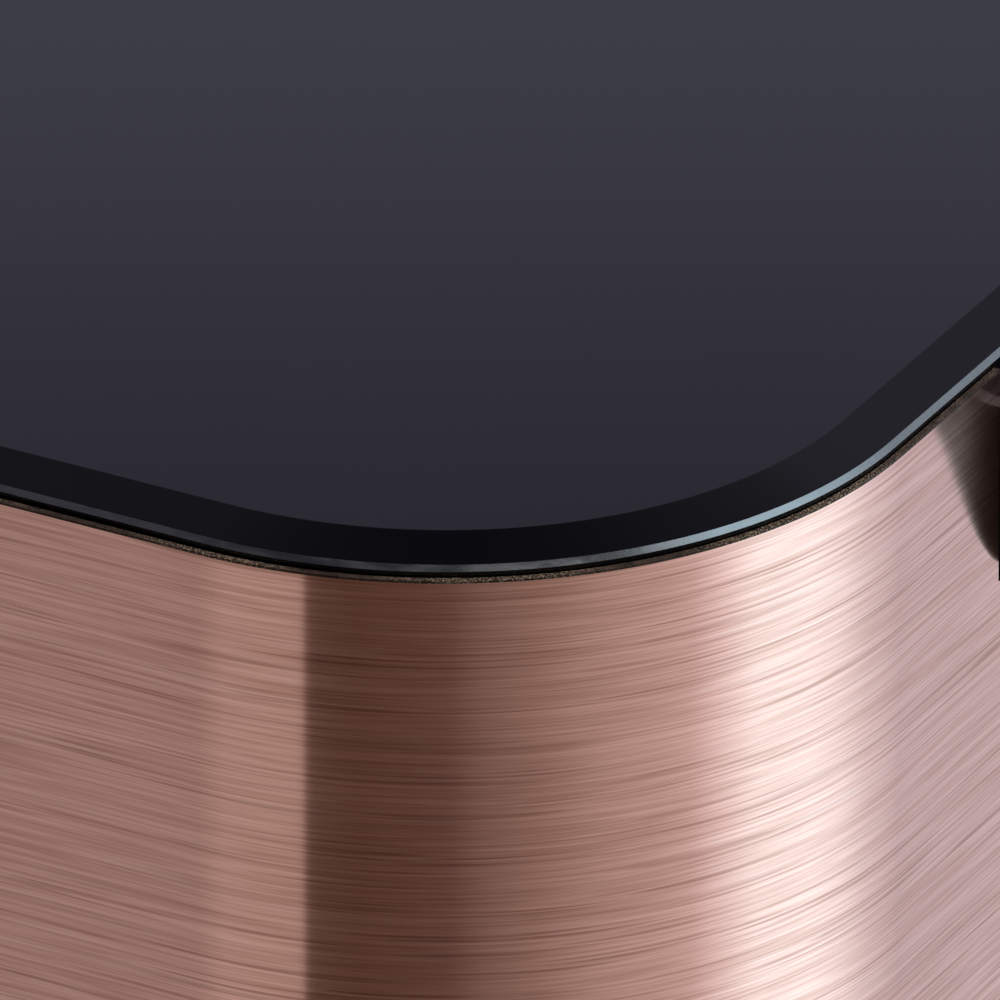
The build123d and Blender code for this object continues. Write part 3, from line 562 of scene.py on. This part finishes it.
def add_world():
    """Studio surroundings: soft panels round the jug, a darker ceiling behind it."""
    world = bpy.data.worlds.new("studio")
    bpy.context.scene.world = world
    world.use_nodes = True
    n = Nodes(world.node_tree)
    background = world.node_tree.nodes["Background"]
    direction = n.add("ShaderNodeTexCoord").outputs["Generated"]
    side = n.add("ShaderNodeVectorMath", {0: direction, 1: RIGHT}, operation="DOT_PRODUCT").outputs["Value"]
    near = n.add("ShaderNodeVectorMath", {0: direction, 1: TOWARDS}, operation="DOT_PRODUCT").outputs["Value"]
    height = n.add("ShaderNodeSeparateXYZ", {0: direction}).outputs["Z"]
    turn = n.remap(n.math("ARCTAN2", side, near), -math.pi, math.pi, 0.0, 1.0)
    around = n.ramp(turn, [((a + 180) / 360, tuple(c / LIGHT_SCALE for c in light)) for a, light in AROUND])
    lift = n.remap(height, 0.3, 0.55, 1.0, 1.4)     # the panels are brighter towards their tops
    around = n.add("ShaderNodeVectorMath", {0: around, "Scale": lift}, operation="SCALE").outputs["Vector"]
    above = n.ramp(height, [(z, tuple(c / LIGHT_SCALE for c in light)) for z, light in ABOVE])
    panel_top = n.ramp(turn, [((a + 180) / 360, (z,) * 3) for a, z in
                              ((-180, 0.22), (46, 0.22), (58, 0.82), (114, 0.82), (128, 0.22), (180, 0.22))])
    edge = n.math("SUBTRACT", height, panel_top)
    colour = n.mix(n.remap(edge, -0.06, 0.06, 0.0, 1.0, "SMOOTHSTEP"), around, above)
    n.put(background.inputs["Color"], colour)
    background.inputs["Strength"].default_value = LIGHT_SCALE


def add_overhead():
    """Soft box above the jug, for the floor and the shadow on it."""
    data = bpy.data.lights.new("overhead", "AREA")
    data.shape, data.size, data.size_y, data.energy = "RECTANGLE", 0.5, 0.5, 16.0
    light = bpy.data.objects.new("overhead", data)
    turn, rise, distance = math.radians(100), math.radians(78), 1.5
    flat = TOWARDS * math.cos(turn) + RIGHT * math.sin(turn)
    away = flat * math.cos(rise) + Vector((0, 0, math.sin(rise)))
    light.location = away * distance
    light.rotation_mode = "QUATERNION"
    light.rotation_quaternion = away.to_track_quat("Z", "Y")
    light.visible_camera = False
    bpy.context.scene.collection.objects.link(light)


def add_floor():
    """Pale floor."""
    bm = bmesh.new()
    loft(bm, [circle_ring(r, 0.0, 64) for r in (6.0, 0.3)], cap_last=True)
    mesh = bpy.data.meshes.new("floor")
    bm.to_mesh(mesh)
    bm.free()
    floor = bpy.data.objects.new("floor", mesh)
    bpy.context.scene.collection.objects.link(floor)
    made, n, shader = material("floor_paper", Roughness=0.8)
    cloud = n.noise((3, 3, 3), 2.0, 0.5)
    n.put(shader.inputs["Base Color"], n.mix(cloud, rgb(0.78, 0.78, 0.79), rgb(0.82, 0.82, 0.83)))
    mesh.materials.append(made)
    floor.visible_glossy = floor.visible_diffuse = floor.visible_shadow = False


dress_cad()
make_sleeve()
make_glass()
make_spout()
add_world()
add_overhead()
add_floor()
add_camera()
bpy.context.scene.view_settings.view_transform = "Standard"
